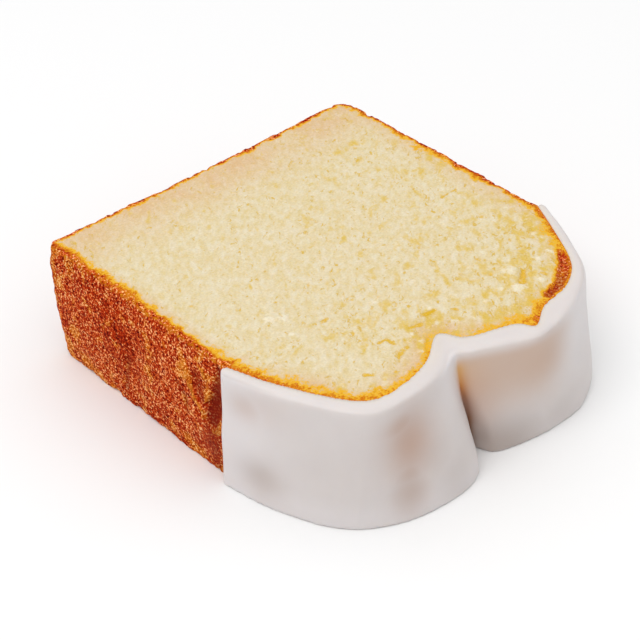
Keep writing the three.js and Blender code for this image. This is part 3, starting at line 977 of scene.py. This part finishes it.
# Sugar icing, poured and set: smooth and satin, milky with a faint lilac grey, and warm where it is thin
# enough for the crust to show through. Painted light, painted shade and painted warm bounce light from the
# crack lie over it
CLOUD_SIZE = 7.0
RIPPLE_SIZE = 1.5
CRACK_BOUNCE_AND_SHADE_STOPS = [(0.1, "#90684A"), (0.5, "#B8784C"), (0.68, "#D08E4C"), (0.85, "#D6A66A")]
sugar = bpy.data.materials.new("sugar icing, poured and set")
sugar.use_nodes = True
tree = sugar.node_tree
shader = tree.nodes["Principled BSDF"]
where = add(tree, "ShaderNodeTexCoord", {}).outputs["Object"]
cloud = add(tree, "ShaderNodeTexNoise", {"Vector": where, "Scale": per(CLOUD_SIZE), "Detail": 2.0}).outputs[0]
ripples = add(
    tree, "ShaderNodeTexNoise", {"Vector": where, "Scale": per(RIPPLE_SIZE), "Detail": 2.0},
).outputs[0]
level = add(tree, "ShaderNodeSeparateXYZ", {0: where}).outputs["Z"]
lit = add(tree, "ShaderNodeMapRange", {"Value": level, "From Max": FACE_HEIGHT * MM}).outputs[0]
crack_bounce_and_shade = add(tree, "ShaderNodeValToRGB", {"Fac": lit}, CRACK_BOUNCE_AND_SHADE_STOPS).outputs[0]
ICING_TINTS = {
    # painted light
    "painted_light": linear("#E6E1E2"),
    "buttered": linear("#DED2BF"),
    # crust showing through, partly painted shade
    "show_through_and_shade": linear("#BE9E8C"),
    "brow": linear("#CCAE98"),
    # painted shade
    "painted_shade": linear("#AA9C94"),
    # painted warm bounce light and shade of the crack
    "glow": crack_bounce_and_shade,
}
icing_colour = add(
    tree, "ShaderNodeMix", {0: cloud, 6: linear("#D5CDCB"), 7: linear("#DCD5D2")}, data_type="RGBA",
).outputs[2]
for name, colour in ICING_TINTS.items():
    share = add(tree, "ShaderNodeAttribute", {}, attribute_name=name).outputs["Fac"]
    icing_colour = add(
        tree, "ShaderNodeMix", {0: share, 6: icing_colour, 7: colour}, data_type="RGBA",
    ).outputs[2]
rippled = add(tree, "ShaderNodeBump", {"Strength": 0.15, "Distance": 0.2 * MM, "Height": ripples}).outputs[0]
tree.links.new(icing_colour, shader.inputs["Base Color"])
tree.links.new(rippled, shader.inputs["Normal"])
shader.inputs["Roughness"].default_value = 0.42
shader.inputs["IOR"].default_value = 1.45
shader.inputs["Subsurface Weight"].default_value = 0.3
shader.inputs["Subsurface Radius"].default_value = (1.0, 0.8, 0.65)
shader.inputs["Subsurface Scale"].default_value = 1.5 * MM
icing.data.materials.append(sugar)

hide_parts("icing")
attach(icing, "root")


# Studio: a plain white table in a white tent that is brighter overhead, with one broad soft light from the
# upper left, and a camera that looks down on the slice from in front of its left wall.

FLOOR_SIZE = 4000
floor_shape = bmesh.new()
bmesh.ops.create_grid(floor_shape, x_segments=2, y_segments=2, size=FLOOR_SIZE * MM / 2)
floor_mesh = bpy.data.meshes.new("table_top")
floor_shape.to_mesh(floor_mesh)
floor_shape.free()
floor = bpy.data.objects.new("table_top", floor_mesh)
bpy.context.collection.objects.link(floor)

# White board, matt painted: an even pale ground without gloss, on which only the soft shadow shows
table = bpy.data.materials.new("white board, matt painted")
table.use_nodes = True
shader = table.node_tree.nodes["Principled BSDF"]
shader.inputs["Base Color"].default_value = linear("#F2F2F2")
shader.inputs["Roughness"].default_value = 0.9
floor_mesh.materials.append(table)

TENT_HORIZON = 0.1
TENT_OVERHEAD = 1.32
tent = bpy.data.worlds.new("white tent")
tent.use_nodes = True
tree = tent.node_tree
way = add(tree, "ShaderNodeTexCoord", {}).outputs["Generated"]
upward = add(tree, "ShaderNodeSeparateXYZ", {0: way}).outputs["Z"]
glare = add(
    tree, "ShaderNodeMapRange", {"Value": upward, "To Min": TENT_HORIZON, "To Max": TENT_OVERHEAD},
).outputs[0]
tree.nodes["Background"].inputs["Color"].default_value = linear("#FFFFFF")
tree.links.new(glare, tree.nodes["Background"].inputs["Strength"])
bpy.context.scene.world = tent

AIM = Vector((-4.217, 4.072, 13.0)) * MM


def off(turn, rise, distance):
    """The place at a distance from the aim, turned about +Z from -Y and raised above the horizon."""
    level = math.cos(rise)
    way = Vector((math.sin(turn) * level, -math.cos(turn) * level, math.sin(rise)))
    return AIM + way * distance * MM


def pointed(thing, place):
    """Puts a camera or light at a place, looking at the aim."""
    thing.location = place
    thing.rotation_euler = (AIM - place).to_track_quat("-Z", "Y").to_euler()
    bpy.context.collection.objects.link(thing)


KEY_SIZE = 700
KEY_POWER = 5.0
KEY_TURN = math.radians(-80)
KEY_RISE = math.radians(60)
KEY_DISTANCE = 1300
key_light = bpy.data.lights.new("key", "AREA")
key_light.size = KEY_SIZE * MM
key_light.energy = KEY_POWER
pointed(bpy.data.objects.new("key", key_light), off(KEY_TURN, KEY_RISE, KEY_DISTANCE))

CAMERA_TURN = math.radians(-42.979)
CAMERA_RISE = math.radians(37.227)
CAMERA_DISTANCE = 472.93
CAMERA_LENS = 112.5
CAMERA_SENSOR = 36
CAMERA_NEAREST = 10
lens = bpy.data.cameras.new("camera")
lens.lens = CAMERA_LENS
lens.sensor_width = CAMERA_SENSOR
lens.clip_start = CAMERA_NEAREST * MM
camera = bpy.data.objects.new("camera", lens)
pointed(camera, off(CAMERA_TURN, CAMERA_RISE, CAMERA_DISTANCE))
bpy.context.scene.camera = camera
bpy.context.scene.view_settings.view_transform = "Standard"
